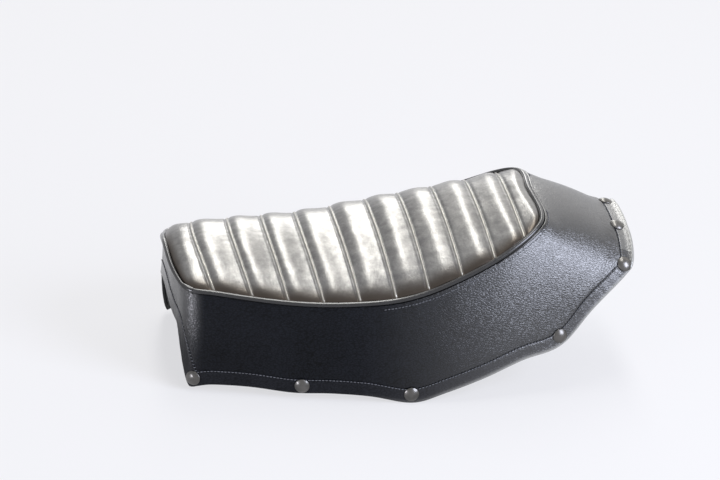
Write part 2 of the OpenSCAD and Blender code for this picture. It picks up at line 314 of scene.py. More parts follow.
def background_rays(tree):
    """A socket that is 1 for rays that see the surroundings: from the camera, a gloss or a glass."""
    ray = add_node(tree, "ShaderNodeLightPath")
    seen = add_node(tree, "ShaderNodeMath", operation="MAXIMUM",
                    sockets={0: ray.outputs["Is Camera Ray"], 1: ray.outputs["Is Glossy Ray"]})
    seen = add_node(tree, "ShaderNodeMath", operation="MAXIMUM",
                    sockets={0: seen.outputs[0], 1: ray.outputs["Is Transmission Ray"]})
    return seen.outputs[0]


def new_material(name, **principled):
    """A material with one Principled shader, and the values that are the same all over it."""
    made = bpy.data.materials.new(name)
    made.use_nodes = True
    shader = made.node_tree.nodes["Principled BSDF"]
    for socket, value in principled.items():
        shader.inputs[socket.replace("_", " ")].default_value = value
    return made, made.node_tree, shader


# %% [markdown]
# The skirt is black cowhide with a printed pebble grain, finished satin. The grain is creases a
# few millimetres long that run mostly along the seat, where the hide was stretched. It catches a
# soft grey sheen from above and is almost black from the side. Cells of a Voronoi pattern, drawn
# out along the seat, give the creases, and a finer noise breaks them up. The creases are painted
# darker than the pebbles, partly as their own tone and partly as painted shade in them. The front
# hangs between the rider's legs and stays matt. From the middle back, and on the front corners,
# hands and legs have polished the finish, which is drawn as a clear coat. The folded edge is
# painted pale grey there, partly as wear and partly as a painted highlight along the fold, where
# the mesh carries the attribute `fold`.

# %% Black leather
def pebbled_leather(name, dark, light, roughness, grain):
    """Pebbled leather between two tones, with a roughness and a strength of the grain's relief."""
    made, tree, shader = new_material(name, Specular_IOR_Level=0.1, Coat_Roughness=0.28, Coat_IOR=1.8)
    place = add_node(tree, "ShaderNodeTexCoord").outputs["Object"]
    stretch = add_node(tree, "ShaderNodeMapping", {"Vector": place, "Scale": (0.42, 0.7, 1)})
    drawn_out = stretch.outputs[0]
    bend = add_node(tree, "ShaderNodeTexNoise", {"Vector": place, "Scale": 1 / (6 * MM), "Detail": 2})
    warped = add_node(tree, "ShaderNodeMix", {0: 0.0016, 4: drawn_out, 5: bend.outputs["Color"]},
                      data_type="VECTOR")
    cells = add_node(tree, "ShaderNodeTexVoronoi", {"Vector": warped.outputs[1], "Scale": 1 / (1.6 * MM)},
                     feature="DISTANCE_TO_EDGE")
    creases = add_node(tree, "ShaderNodeMapRange", {"Value": cells.outputs["Distance"], "From Max": 0.22},
                       interpolation_type="SMOOTHSTEP")
    fine = add_node(tree, "ShaderNodeTexNoise", {"Vector": drawn_out, "Scale": 1 / (0.9 * MM), "Detail": 4})
    height = add_node(tree, "ShaderNodeMath", {0: creases.outputs[0], 1: fine.outputs[0]})
    relief = add_node(tree, "ShaderNodeBump",
                      {"Height": height.outputs[0], "Strength": grain, "Distance": 0.5 * MM})
    patches = add_node(tree, "ShaderNodeTexNoise", {"Vector": place, "Scale": 1 / (35 * MM), "Detail": 5})
    # The creases are painted darker than the pebbles: partly their own tone, partly painted shade.
    mottle = add_node(tree, "ShaderNodeMix", {0: 0.5, 2: patches.outputs[0], 3: creases.outputs[0]})
    tone = add_node(tree, "ShaderNodeValToRGB", {"Fac": mottle.outputs[0]},
                    stops=[(0.2, dark), (0.8, light)])
    matt = add_node(tree, "ShaderNodeMapRange",
                    {"Value": patches.outputs[0], "To Min": roughness - 0.05, "To Max": roughness + 0.07})
    axes = add_node(tree, "ShaderNodeSeparateXYZ", {"Vector": place})
    tail = add_node(tree, "ShaderNodeMapRange", interpolation_type="SMOOTHSTEP", sockets={
        "Value": axes.outputs["X"], "From Min": -10 * MM, "From Max": 200 * MM, "To Max": 0.9})
    ahead = add_node(tree, "ShaderNodeMapRange", interpolation_type="SMOOTHSTEP", sockets={
        "Value": axes.outputs["X"], "From Min": -150 * MM, "From Max": -168 * MM})
    high = add_node(tree, "ShaderNodeMapRange", interpolation_type="SMOOTHSTEP", sockets={
        "Value": axes.outputs["Z"], "From Min": 15 * MM, "From Max": 80 * MM, "To Min": 0.15})
    corner = add_node(tree, "ShaderNodeMath", {0: ahead.outputs[0], 1: high.outputs[0]},
                      operation="MULTIPLY")
    polish = add_node(tree, "ShaderNodeMath", {0: tail.outputs[0], 1: corner.outputs[0]},
                      operation="MAXIMUM")
    # From the middle back the fold is painted pale grey: partly wear, partly a painted highlight along the
    # folded edge.
    fold = add_node(tree, "ShaderNodeAttribute", attribute_name="fold")
    wear_and_sheen = add_node(tree, "ShaderNodeMath", {0: fold.outputs["Fac"], 1: tail.outputs[0]},
                    operation="MULTIPLY")
    worn_and_lit = add_node(tree, "ShaderNodeMix", {0: wear_and_sheen.outputs[0], 6: tone.outputs[0], 7: linear("#8f8e88")},
                    data_type="RGBA")
    tree.links.new(worn_and_lit.outputs[2], shader.inputs["Base Color"])
    tree.links.new(matt.outputs[0], shader.inputs["Roughness"])
    tree.links.new(polish.outputs[0], shader.inputs["Coat Weight"])
    tree.links.new(relief.outputs[0], shader.inputs["Normal"])
    tree.links.new(relief.outputs[0], shader.inputs["Coat Normal"])
    return made


cover_leather = pebbled_leather("cover_leather_black_pebbled", "#040507", "#16181d", 0.42, 0.28)
hem_leather = pebbled_leather("hem_leather_black_folded", "#0c0d10", "#1e1f23", 0.4, 0.2)

# %% [markdown]
# The insert is leather with a rolled-on pewter film, so it shines like a dull metal and is
# cloudy where the film is thin. The raised seams are painted pale, partly as wear and partly as a
# painted highlight along their crests. The rolls beside the piping are painted darker and browner,
# a painted shade where they turn down into it. Two attributes that the mesh carries, `lip` and
# `edge`, say where.

# %% Pewter leather
def pewter_leather():
    made, tree, shader = new_material("insert_leather_pewter_film", Metallic=0.92)
    place = add_node(tree, "ShaderNodeTexCoord").outputs["Object"]
    clouds = add_node(tree, "ShaderNodeTexNoise", {"Vector": place, "Scale": 1 / (9 * MM), "Detail": 8,
                                                   "Roughness": 0.7})
    tone = add_node(tree, "ShaderNodeValToRGB", {"Fac": clouds.outputs[0]},
                    stops=[(0.34, "#6b6a69"), (0.5, "#7b7a78"), (0.68, "#8d8c89")])
    # Painted shade: beside the piping the rolls are painted a dark brown, where they turn down into it.
    edge = add_node(tree, "ShaderNodeAttribute", attribute_name="edge")
    shaded_by_piping = add_node(tree, "ShaderNodeMix", data_type="RGBA",
                      sockets={0: edge.outputs["Fac"], 6: tone.outputs[0], 7: linear("#453f39")})
    # The lips are painted pale: partly wear, partly a painted highlight on their crests.
    lip = add_node(tree, "ShaderNodeAttribute", attribute_name="lip")
    worn_and_lit = add_node(tree, "ShaderNodeMix", data_type="RGBA",
                    sockets={0: lip.outputs["Fac"], 6: shaded_by_piping.outputs[2], 7: linear("#b8b5ac")})
    matt = add_node(tree, "ShaderNodeMapRange", {"Value": clouds.outputs[0], "To Min": 0.33, "To Max": 0.25})
    speckle = add_node(tree, "ShaderNodeTexNoise", {"Vector": place, "Scale": 1 / (2.2 * MM), "Detail": 6,
                                                    "Roughness": 0.65})
    relief = add_node(tree, "ShaderNodeBump",
                      {"Height": speckle.outputs[0], "Strength": 0.35, "Distance": 0.35 * MM})
    tree.links.new(worn_and_lit.outputs[2], shader.inputs["Base Color"])
    tree.links.new(matt.outputs[0], shader.inputs["Roughness"])
    tree.links.new(relief.outputs[0], shader.inputs["Normal"])
    return made


insert_leather = pewter_leather()

# %% [markdown]
# The other finishes are simpler, and one function makes them: a base colour that drifts between
# two tones over a given size, a roughness that drifts with it, and a fine relief. The relief of
# each is the mark of how it was made: the weave of a mould, the lay of a plating, a turned face.

# %% The plainer finishes
def plain_finish(name, dark, light, roughness, patch, grit, depth, metallic=0.0, coat=0.0):
    made, tree, shader = new_material(name, Metallic=metallic, Coat_Weight=coat, Coat_Roughness=0.2)
    place = add_node(tree, "ShaderNodeTexCoord").outputs["Object"]
    patches = add_node(tree, "ShaderNodeTexNoise", {"Vector": place, "Scale": 1 / patch, "Detail": 5})
    tone = add_node(tree, "ShaderNodeValToRGB", {"Fac": patches.outputs[0]},
                    stops=[(0.35, dark), (0.65, light)])
    matt = add_node(tree, "ShaderNodeMapRange",
                    {"Value": patches.outputs[0], "To Min": roughness - 0.06, "To Max": roughness + 0.06})
    fine = add_node(tree, "ShaderNodeTexNoise", {"Vector": place, "Scale": 1 / grit, "Detail": 3})
    relief = add_node(tree, "ShaderNodeBump",
                      {"Height": fine.outputs[0], "Strength": 0.5, "Distance": depth})
    tree.links.new(tone.outputs[0], shader.inputs["Base Color"])
    tree.links.new(matt.outputs[0], shader.inputs["Roughness"])
    tree.links.new(relief.outputs[0], shader.inputs["Normal"])
    return made


piping_leather = plain_finish("piping_leather_black_smooth", "#0c0c0d", "#151517", 0.26,
                              12 * MM, 1 * MM, 0.03 * MM, coat=0.4)
thread = plain_finish("thread_polyester_black", "#45464b", "#626469", 0.45, 1.5 * MM, 0.3 * MM, 0.1 * MM)
nickel = plain_finish("nickel_plate_satin", "#595856", "#6a6866", 0.3,
                      9 * MM, 0.4 * MM, 0.02 * MM, metallic=1)
pan_laminate = plain_finish("pan_glass_fibre_black", "#121315", "#1c1d20", 0.5,
                            30 * MM, 1.2 * MM, 0.25 * MM)
brass = plain_finish("brass_turned", "#a8874a", "#c8a765", 0.3, 3 * MM, 0.3 * MM, 0.03 * MM, metallic=1)
rubber = plain_finish("rubber_black_moulded", "#1a1a1b", "#242425", 0.72, 8 * MM, 0.8 * MM, 0.1 * MM)
zinc = plain_finish("steel_zinc_plated", "#8b8e92", "#aeb1b4", 0.36,
                    9 * MM, 0.5 * MM, 0.03 * MM, metallic=1)
aluminium = plain_finish("aluminium_rivet", "#a9abad", "#c4c6c7", 0.34,
                         4 * MM, 0.4 * MM, 0.03 * MM, metallic=1)

# %% [markdown]
# ## The cover
# On the real seat the cover is two panels of leather, sewn to the piping along the top and
# folded into a hem below, and stretched over foam. It could be a cloth simulation, but the leather
# is taut and glued, so its shape is known: a loft between the two lines, with the sewn details
# raised and sunk in it. The grid is fine enough to hold the puckers that the seams pull. Foam can't
# hold a sharp edge, so the ridge between the tail's top and its sides is rounded at the end.

# %% The skirt and the tail
HEM_WIDTH = 14.5 * MM
COVER_ROWS = 44
ROUNDING_REACH = 16
ROUNDING_SPREAD = 7.5
STUD_SIDE_AT = [4.1, 7.24, 10, 14.04]
STUD_REAR_AT = [16.7, 18.9]
STUD_SHARE = 0.085
STRAP_STUD_SHARE = 0.105


def stitched_shares(places):
    """How far up the skin the stitching runs, so that it stays one hem width from the edge all round."""
    low, high = along(HEM, places), along(SEAM, places)[:, :3]
    step = np.linalg.norm(np.diff((low + high) / 2, axis=0), axis=1)
    run = np.concatenate([[0], np.cumsum(step)])
    whole = skirt_depth(places) / (1 - arch(np.abs(places)))
    edge = arch(np.abs(places)) * whole
    gap_along = np.abs(run[:, None] - run[None, :])
    reach = np.sqrt(np.clip(HEM_WIDTH**2 - gap_along**2, 0, None))
    top = np.where(gap_along <= HEM_WIDTH, edge[None, :] + reach, 0).max(axis=1)
    return np.clip((top - edge) / (whole - edge), 0, 0.8)


HEM_PLACES = np.arange(-1.4, LAST + 1.4, 0.02)
HEM_SHARES = stitched_shares(HEM_PLACES)


def hem_share(u):
    """The share of the skin's depth at which the hem's stitching runs."""
    return np.interp(u, HEM_PLACES, HEM_SHARES)


def side_rows(shares, raised):
    """Rings over the skin: shares go from 0 at the stitching to 1 at the seam."""
    rings = []
    start = hem_share(PLACES)
    depth = skirt_depth(PLACES)
    for share in shares:
        v = mixed(start, 1, share)
        rings.append(skin(PLACES, v, raised(PLACES, share, (v - start) * depth, (1 - v) * depth)))
    return rings


def cover_relief(u, share, from_hem, from_seam):
    """How far the leather stands out from the plain skin."""
    flat = level_skin(u, mixed(hem_share(u), 1, share) * np.ones_like(u))
    slack = 0.7 * MM * ripples(flat, 55 * MM)
    groove = -0.5 * MM * np.exp(-((from_hem / (1.3 * MM)) ** 2))
    pulled = 0.28 * MM * np.sin(u * 75 + 2 * np.sin(u * 9)) * np.exp(-from_seam / (7 * MM))
    gathered = 0.22 * MM * np.sin(u * 52 + 1.7 * np.sin(u * 7)) * np.exp(-from_hem / (8 * MM))
    return slack * eased(0, 12 * MM, from_seam) * eased(0, 4 * MM, from_hem) + groove + pulled + gathered


def relaxed(line, weight):
    """A row of the cover with sharp turns rounded, each point moved toward its neighbours' mean."""
    before = line[ROUNDING_REACH:0:-1] * [1, -1, 1]
    after = line[-2:-2 - ROUNDING_REACH:-1] * [1, -1, 1]
    whole = np.vstack([before, line, after])
    near = np.exp(-0.5 * (np.arange(-ROUNDING_REACH, ROUNDING_REACH + 1) / ROUNDING_SPREAD) ** 2)
    soft = np.stack([np.convolve(whole[:, k], near / near.sum(), mode="valid") for k in range(3)], axis=1)
    return mixed(line, soft, weight[:, None])


def seam_ring(out, drop):
    """A ring beside the seam: out from it, and below it."""
    line = along(SEAM, PLACES)[:, :3] + outward_of(SEAM, PLACES) * np.asarray(out).reshape(-1, 1)
    line[:, 2] -= drop
    line[[0, -1], 1] = 0
    return line


shares = np.concatenate([np.linspace(0, 0.03, 6)[:-1], np.linspace(0.03, 0.93, COVER_ROWS), [0.95, 0.965]])
sides = side_rows(shares, cover_relief)
depth = (1 - hem_share(PLACES)) * skirt_depth(PLACES)
for k, share in enumerate(shares):
    free = eased(3 * MM, 18 * MM, share * depth) * eased(9 * MM, 24 * MM, (1 - share) * depth)
    sides[k] = relaxed(sides[k], free * eased(12, 14, PLACES))
sides[:0] = [skin(PLACES, hem_share(PLACES) * 0.8, np.full_like(PLACES, -2.0 * MM))]
for line in sides:
    line[[0, -1], 1] = 0
sides += [seam_ring(1.2 * MM, 3.4 * MM), seam_ring(-1 * MM, 3.3 * MM), seam_ring(-5 * MM, 4.2 * MM)]
cover = tube_mesh("cover", [ring_of(line) for line in sides])
close_and_smooth(cover)
fitted(cover, "cover", cover_leather, "cushion")

# %% [markdown]
# The hem is the cover's lower edge, folded up inside and stitched. It is a thin strip that is
# thicker than the skin and rounded along its lower edge. Each length runs between two places
# along the seat, and is a loft whose section goes round the fold.

# %% The hem and the strap
CORNER_FRONT = 3.0
CORNER_REAR = 17.5
HEM_PROFILE = [(1.0, -0.7), (0.97, -0.2), (0.9, 0.15), (0.78, 0.35), (0.5, 0.6), (0.26, 1.0),
               (0.15, 1.35), (0.06, 1.4), (-0.02, 0.95), (-0.06, 0.1), (-0.04, -0.9),
               (0.02, -1.6), (0.2, -2.0), (0.6, -2.0), (0.96, -2.0)]
# How pale each point of the hem's section is painted, as wear and as a painted highlight round the fold.
FOLD_WEAR_AND_SHEEN = [0, 0, 0, 0, 0, 0.05, 0.5, 1, 1, 0.4, 0, 0, 0, 0, 0]


def hem_section(u):
    """The closed section of the hem at each place: across the outside, round the fold, and back."""
    top = hem_share(u)
    ring = []
    for share, raised in HEM_PROFILE:
        low = np.full_like(u, raised * MM)
        wave = 0.06 * MM * np.sin(u * 30 + 2 * np.sin(u * 5)) * (share > 0)
        ring.append(skin(u, top * share, low + wave * (raised > -0.4)))
    return ring


def hem_strip(name, start, end, both, wear_and_sheen=0.0):
    """A strip of the hem from one place to another, on the left side or on both, painted pale by so much, as
    wear and sheen.
    """
    count = max(int((end - start) * 24), 20)
    u = np.linspace(start, end, count)
    section = np.stack(hem_section(u), axis=1)
    if both:
        other = section[::-1] * [1, -1, 1]
        halves = [other, section[1:]] if start == 0 else [section, other[1:]]
        section = np.concatenate(halves)
    strip = tube_mesh(name, list(section))
    layer = strip.data.attributes.new("fold", "FLOAT", "POINT")
    layer.data.foreach_set("value", np.tile(np.maximum(FOLD_WEAR_AND_SHEEN, wear_and_sheen), len(section)).astype(np.float32))
    close_and_smooth(strip, 50)
    return strip


def mirrored(piece, name):
    """A copy with its own mesh on the right side, its faces turned outwards again."""
    twin = linked(name, piece.data.copy())
    twin.data.transform(Matrix.Scale(-1, 4, (0, 1, 0)))
    twin.data.flip_normals()
    return twin


# The strap is painted pale all across, partly as wear and partly as a painted sheen.
hem_left = hem_strip("hem_left_fold", CORNER_FRONT, CORNER_REAR, False)
hems = {"hem_left": hem_left, "hem_right": mirrored(hem_left, "hem_right_fold"),
        "hem_front": hem_strip("hem_front_fold", 0, CORNER_FRONT, True),
        "rear_strap": hem_strip("rear_strap_fold", CORNER_REAR, LAST, True, 0.35)}
for node, strip in hems.items():
    fitted(strip, "hem", hem_leather, node)

# %% [markdown]
# ## The ribbed insert
# The real insert is leather laid over strips of foam and sewn down between them, so it has eleven
# soft rolls with a thin raised lip at each seam. The seams bow forward in the middle. A grid that
# follows the seams keeps the lips crisp: one direction runs along a seam, the other across the
# rolls, with rows packed closely beside each seam.

# %% The plan of the insert
RIB_AT = [3.4, 5, 6, 7, 8, 9, 10, 11, 12, 13, 14.3, 16.6]
RIB_BOW = [0, 13, 12.5, 12, 12, 11.5, 11, 10.5, 10, 8, 5, 0]
ROLLS = len(RIB_AT) - 1
INSET = 2.2 * MM
half_count = 60
spread = np.linspace(-1, 1, 2 * half_count + 1)
ACROSS = 0.55 * spread + 0.45 * np.sin(spread * math.pi / 2)


def outline(u):
    """The edge of the insert, just inside the piping."""
    return along(SEAM, u)[..., :3] - outward_of(SEAM, u) * INSET


def rib_line(k):
    """The plan of one line across the insert, from left to right: a seam, or the front or rear edge."""
    end = outline(np.array([float(RIB_AT[k])]))[0]
    y = -ACROSS * end[1]
    if k in (0, ROLLS):
        u = np.linspace(0, RIB_AT[0], 80) if k == 0 else np.linspace(LAST, RIB_AT[-1], 80)
        edge = outline(u)
        x = np.interp(np.abs(y), -edge[:, 1], edge[:, 0])
    else:
        x = end[0] - RIB_BOW[k] * MM * (1 - ACROSS**2)
    return np.stack([x, y], axis=1)


def crown_height(x, y):
    """The height of the foam's crown, as the construction has it: highest along the middle."""
    u = np.linspace(0, 16.8, 1200)
    line = along(SEAM, u)
    at = np.interp(x, line[:, 0], u)
    here = along(SEAM, at)
    t = np.clip(np.abs(y / here[..., 1]), 0, 1)
    return here[..., 2] + here[..., 3] * (1 - t**2.2)


print("the insert has", ROLLS, "rolls")

# %% [markdown]
# Across a roll the leather rises steeply from one seam to a rounded crown and comes down to the
# next. Three lists give each roll its height, its lean and how round its crown is. The front rolls
# are broad and lean forward, and the rear ones are sharper and lean back, as the foam under them
# was pushed. The stitching pulls a crease on each side of the lip. Low, wide noise makes each roll
# a little different, and short puckers run out from the seams.

# %% The surface of the insert
ROLL_CROWN = np.array([2.0, 2.3, 2.3, 2.3, 2.8, 2.9, 2.7, 2.7, 2.9, 3.1, 2.6]) * MM
ROLL_LEAN = [0.6, 1.0, 1.0, 1.0, 0.95, 0.75, 0.35, 0, -0.3, -0.45, -0.3]
ROLL_SOFTNESS = [1, 1, 1, 1, 0.8, 0.6, 0.45, 0.35, 0.3, 0.3, 0.35]
SHOULDER = 0.6 * MM
SUNK = 1.3 * MM
END_ROUND = 10 * MM
LIP_HEIGHT = 1.5 * MM
near_seam = np.array([0, 0.5, 1.0, 1.5, 2.0, 2.6, 3.4, 4.6, 6.2, 8.2]) * MM


def roll_rows(width):
    """Where the rows of one roll lie, as shares of its width, close together beside its seams."""
    first = near_seam / width
    middle = np.linspace(first[-1], 1 - first[-1], 9)[1:-1]
    return np.concatenate([first, middle, 1 - first[:0:-1]])


lines = [rib_line(k) for k in range(ROLLS + 1)]
rows, lips, edges = [], [], []
for k in range(ROLLS):
    width = float(np.linalg.norm(lines[k + 1][half_count] - lines[k][half_count]))
    shares = roll_rows(width)
    if k == ROLLS - 1:
        shares = np.append(shares, 1.0)
    local = np.linalg.norm(lines[k + 1] - lines[k], axis=1)
    for share in shares:
        plan = mixed(lines[k], lines[k + 1], share)
        u = mixed(RIB_AT[k], RIB_AT[k + 1], share)
        miss = outline(np.array([u]))[0, :2] - mixed(lines[k][0], lines[k + 1][0], share)
        plan[:, 0] += miss[0] * ACROSS**2
        plan[:, 1] -= miss[1] * ACROSS
        x, y = plan[:, 0], plan[:, 1]
        half_width = abs(plan[0, 1])
        from_end = (1 - np.abs(ACROSS)) * half_width
        rounded = np.sqrt(np.clip(1 - (1 - np.clip(from_end / END_ROUND, 0, 1)) ** 2, 0, 1))
        leaned = share + ROLL_LEAN[k] * share * (1 - share)
        soft = ROLL_SOFTNESS[k]
        fall = (math.hypot(2 * leaned - 1, soft) - soft) / (math.hypot(1, soft) - soft)
        pillow = ROLL_CROWN[k] * (1 - fall)
        pillow += SHOULDER * (1 - abs(2 * share - 1) ** 9)
        to_seam = np.minimum(share * local if k > 0 else 1.0, (1 - share) * local if k < ROLLS - 1 else 1.0)
        lip = np.exp(-((to_seam / (0.8 * MM)) ** 2)) * eased(0, 3 * MM, from_end)
        crease = np.exp(-(((to_seam - 2.1 * MM) / (0.9 * MM)) ** 2)) * eased(0, 3 * MM, from_end)
        place = np.stack([x, y, np.full_like(x, k * 0.031)], axis=1)
        puffed = pillow * (1 + 0.1 * ripples(place, 45 * MM))
        pucker = 0.22 * MM * np.sin(y / (1.9 * MM) + 3 * np.sin(y / (13 * MM) + k))
        pucker = pucker * np.exp(-to_seam / (5 * MM))
        z = crown_height(x, y) - SUNK + rounded * (puffed + pucker * (share > 0))
        z += LIP_HEIGHT * lip - 0.6 * MM * crease
        rows.append(np.stack([x, y, z], axis=1))
        # The lip's share also says how pale it is painted: partly wear, partly a painted highlight.
        lips.append(lip)
        # How much darker the roll is painted beside the piping: a painted shade where it turns down.
        edges.append(1 - eased(1 * MM, 17 * MM, from_end) * (eased(0, 0.35, share) if k == 0 else 1.0))
print(len(rows), "rows of", len(ACROSS), "points")

# %% The insert as one closed form
surface = np.stack(rows)
row_count, column_count = surface.shape[:2]
mesh = bpy.data.meshes.new("insert")
index = np.arange(row_count * column_count).reshape(row_count, column_count)
quads = np.stack([index[:-1, :-1], index[1:, :-1], index[1:, 1:], index[:-1, 1:]], axis=-1).reshape(-1, 4)
rim = np.concatenate([index[0, :], index[1:, -1], index[-1, -2::-1], index[-2:0:-1, 0]])
under = surface.reshape(-1, 3)[rim] - [0, 0, 6 * MM]
under[:, :2] *= 0.985
low = np.arange(len(rim)) + row_count * column_count
walls = np.stack([rim, np.roll(rim, -1), np.roll(low, -1), low], axis=-1)
mesh.from_pydata(np.vstack([surface.reshape(-1, 3), under]).tolist(), [], np.vstack([quads, walls]).tolist())
for name, values in (("lip", lips), ("edge", edges)):
    layer = mesh.attributes.new(name, "FLOAT", "POINT")
    full = np.concatenate([np.clip(np.stack(values).reshape(-1), 0, 1), np.zeros(len(rim))])
    layer.data.foreach_set("value", full.astype(np.float32))
insert = linked("insert_rolls", mesh)
close_and_smooth(insert, 80)
fitted(insert, "insert", insert_leather, "ribbed_insert")

# %% [markdown]
# ## Piping and stitching
# The piping is a cord wrapped in thin leather and sewn into the seam. Round the tail the cover's
# own turned edge shows beside it as a second, thinner ridge, which slips under the piping toward
# the front. Both are round tubes swept along the seam line, and a short sleeve covers the place
# where the piping's two ends meet.

# %% The piping
def swept_tube(name, path, radius, sides, closed=True):
    """A round tube along a path of points; radius may be one number or one for each point."""
    step = np.roll(path, -1, axis=0) - np.roll(path, 1, axis=0)
    if not closed:
        step[0], step[-1] = path[1] - path[0], path[-1] - path[-2]
    ahead = step / np.linalg.norm(step, axis=1, keepdims=True)
    side = np.cross(ahead, [0, 0, 1])
    side /= np.linalg.norm(side, axis=1, keepdims=True)
    up = np.cross(side, ahead)
    size = np.broadcast_to(np.asarray(radius), (len(path),))[:, None]
    turn = np.linspace(0, 2 * math.pi, sides, endpoint=False)
    around = [path + (side * math.cos(a) + up * math.sin(a)) * size for a in turn]
    rings = list(np.stack(around, axis=1))
    made = tube_mesh(name, rings, close_ends=closed)
    close_and_smooth(made, 80)
    return made


piping = swept_tube("piping", ring_of(seam_ring(0, 0)), PIPING_R - 0.4 * MM, 16)
fitted(piping, "piping", piping_leather, "insert_piping")

tail_share = eased(12, 16.5, PLACES)
welt_line = ring_of(seam_ring(mixed(-0.3, 4.3, tail_share) * MM, mixed(4.8, 1.4, tail_share) * MM))
welt_r = np.concatenate([mixed(0.6, 1.8, tail_share), mixed(0.6, 1.8, tail_share)[-2:0:-1]]) * MM
welt = swept_tube("welt", welt_line, welt_r, 12)
fitted(welt, "piping", piping_leather)

JOINT_AT = 3.1
joint_u = np.linspace(JOINT_AT, JOINT_AT + 0.9, 16)
joint_path = along(SEAM, joint_u)[:, :3]
sleeve = swept_tube("piping_joint", joint_path, PIPING_R + 0.1 * MM, 16, closed=False)
fitted(sleeve, "piping", piping_leather)

# %% [markdown]
# Each stitch is a short, plump length of thread that dips into the leather at both ends. One is a
# few dozen faces, and a loop lays hundreds of them along the hem and below the piping.

# %% The stitches
STITCH_PITCH = 3.5 * MM
STITCH_LENGTH = 2.7 * MM
STITCH_R = 0.5 * MM
profile = [(-0.5, 0.25, -0.5), (-0.36, 0.8, 0.1), (-0.12, 1.0, 0.45), (0.12, 1.0, 0.45), (0.36, 0.8, 0.1),
           (0.5, 0.25, -0.5)]
TURN = np.linspace(0, 2 * math.pi, 6, endpoint=False)


def stitch_row(u, v, raised):
    """Centres, directions and normals of stitches laid at an even pitch along the skin."""
    line = skin(u, v, raised)
    run = np.concatenate([[0], np.cumsum(np.linalg.norm(np.diff(line, axis=0), axis=1))])
    at = np.interp(np.arange(STITCH_PITCH / 2, run[-1], STITCH_PITCH), run, u)
    level = np.interp(at, u, v)
    height = np.interp(at, u, raised)
    ahead = skin(at + 0.02, level, height) - skin(at - 0.02, level, height)
    ahead /= np.linalg.norm(ahead, axis=1, keepdims=True)
    return skin(at, level, height), ahead, skin_normal(at, level)


def stitches(name, row):
    """One mesh with a stitch at each place of a row, and their mirror images."""
    verts, faces = [], []
    for centre, ahead, up in zip(*row):
        side = np.cross(up, ahead)
        for mirror in (1, -1):
            start = len(verts)
            for run, size, lift in profile:
                middle = centre + ahead * run * STITCH_LENGTH + up * lift * STITCH_R
                for a in TURN:
                    point = middle + (side * math.cos(a) + up * math.sin(a)) * size * STITCH_R
                    verts.append(point * [1, mirror, 1])
            for r in range(len(profile) - 1):
                for i in range(len(TURN)):
                    a, b = start + r * len(TURN) + i, start + r * len(TURN) + (i + 1) % len(TURN)
                    faces.append((a, b, b + len(TURN), a + len(TURN))[::mirror])
            faces.append(tuple(range(start, start + len(TURN)))[::-mirror])
            faces.append(tuple(range(len(verts) - len(TURN), len(verts)))[::mirror])
    mesh = bpy.data.meshes.new(name)
    mesh.from_pydata([tuple(p) for p in verts], [], faces)
    made = linked(name, mesh)
    only(made)
    bpy.ops.object.shade_smooth_by_angle(angle=math.radians(70))
    fitted(made, "hem", thread)


hem_u = np.linspace(0, LAST, 1600)
stitches("hem_stitches", stitch_row(hem_u, hem_share(hem_u) * 0.99, np.full_like(hem_u, 0.05 * MM)))
top_u = np.linspace(9.6, 17.5, 1000)
below_piping = 1 - 7.0 * MM / skirt_depth(top_u)
stitches("seam_stitches", stitch_row(top_u, below_piping, np.full_like(top_u, 0.12 * MM)))

# %% [markdown]
# ## Press studs
# Each stud is a pressed nickel cap with a rolled rim outside the hem, and a washer and a nut inside
# the pan. The post that joins them on a real one never shows, so it is left out. The cap starts as
# a sphere that is cut off low, and its cut edge is drawn down and in. It is made once and copied to
# twelve places.

# %% One stud
STUD_R = 7.5 * MM
STUD_H = 4 * MM
RIM_H = 1.1 * MM
PAN_DEPTH = 2.3 * MM
PAN_WALL = 4 * MM
dome_r = (STUD_R**2 + (STUD_H - RIM_H) ** 2) / (2 * (STUD_H - RIM_H))

bpy.ops.object.select_all(action="DESELECT")
bpy.ops.mesh.primitive_uv_sphere_add(segments=40, ring_count=48, radius=dome_r,
                                     location=(0, 0, STUD_H - dome_r))
stud = bpy.context.object
stud.name = "stud"
bpy.ops.object.transform_apply(location=True, rotation=True, scale=True)
bpy.ops.object.mode_set(mode="EDIT")
bpy.ops.mesh.select_mode(type="EDGE")
bpy.ops.mesh.select_all(action="SELECT")
bpy.ops.mesh.bisect(plane_co=(0, 0, RIM_H), plane_no=(0, 0, 1), clear_inner=True, use_fill=False)
for drop, size in ((0.25, 1.02), (0.35, 1.0), (0.3, 0.96), (0.1, 0.9)):
    bpy.ops.mesh.extrude_edges_move(TRANSFORM_OT_translate={"value": (0, 0, -drop * MM)})
    bpy.ops.transform.resize(value=(size, size, 1), center_override=(0, 0, 0))
bpy.ops.mesh.edge_face_add()
bpy.ops.mesh.select_all(action="SELECT")
bpy.ops.mesh.normals_make_consistent(inside=False)
bpy.ops.object.mode_set(mode="OBJECT")
bpy.ops.object.shade_smooth_by_angle(angle=math.radians(50))
print("stud", [round(d * 1000, 1) for d in stud.dimensions], "mm")

# %% The washer and nut, and twelve copies
bpy.ops.mesh.primitive_cylinder_add(vertices=32, radius=5.2 * MM, depth=1.2 * MM, location=(0, 0, 0.6 * MM))
washer = bpy.context.object
bpy.ops.mesh.primitive_cylinder_add(vertices=6, radius=3 * MM, depth=2.8 * MM, location=(0, 0, 2.6 * MM))
nut = bpy.context.object
for part in (washer, nut):
    only(part)
    bpy.ops.object.transform_apply(location=True, rotation=True, scale=True)
    bevel = part.modifiers.new("rounded", "BEVEL")
    bevel.width = 0.3 * MM
    bevel.segments = 2
    bpy.ops.object.modifier_apply(modifier="rounded")


